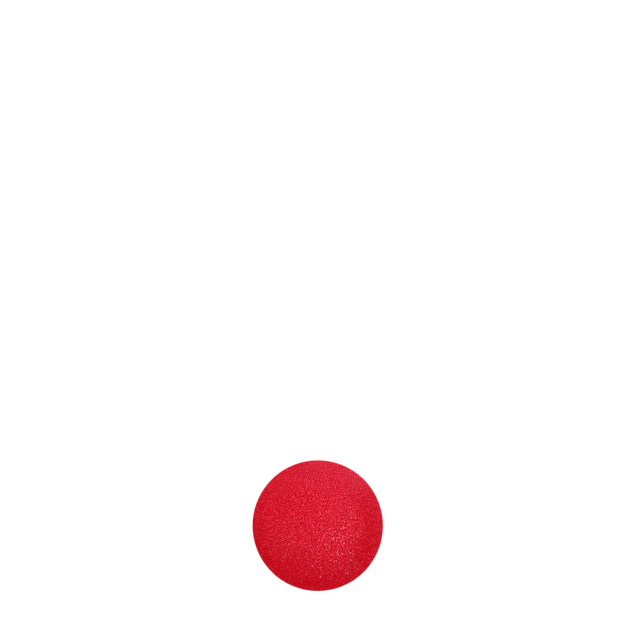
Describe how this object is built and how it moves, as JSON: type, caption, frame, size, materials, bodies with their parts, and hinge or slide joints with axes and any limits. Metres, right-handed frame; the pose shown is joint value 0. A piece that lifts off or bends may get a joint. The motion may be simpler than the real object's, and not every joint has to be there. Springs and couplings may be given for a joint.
{
  "type": "clown nose",
  "caption": "Red foam ball worn on the nose, with a round pocket in its back for the tip of the nose and a slit that lets the foam spread.",
  "frame": {"origin": "centre of the mouth of the nose pocket, on the surface that the nose rests on", "axes": "+Z from the mouth to the front of the nose, +Y up as worn, +X to the wearer's left"},
  "size_m": [0.05, 0.05, 0.0457],
  "materials": {
    "red_foam": "matte"
  },
  "bodies": {
    "root": {"foam_ball": "red_foam"}
  },
  "joints": []
}
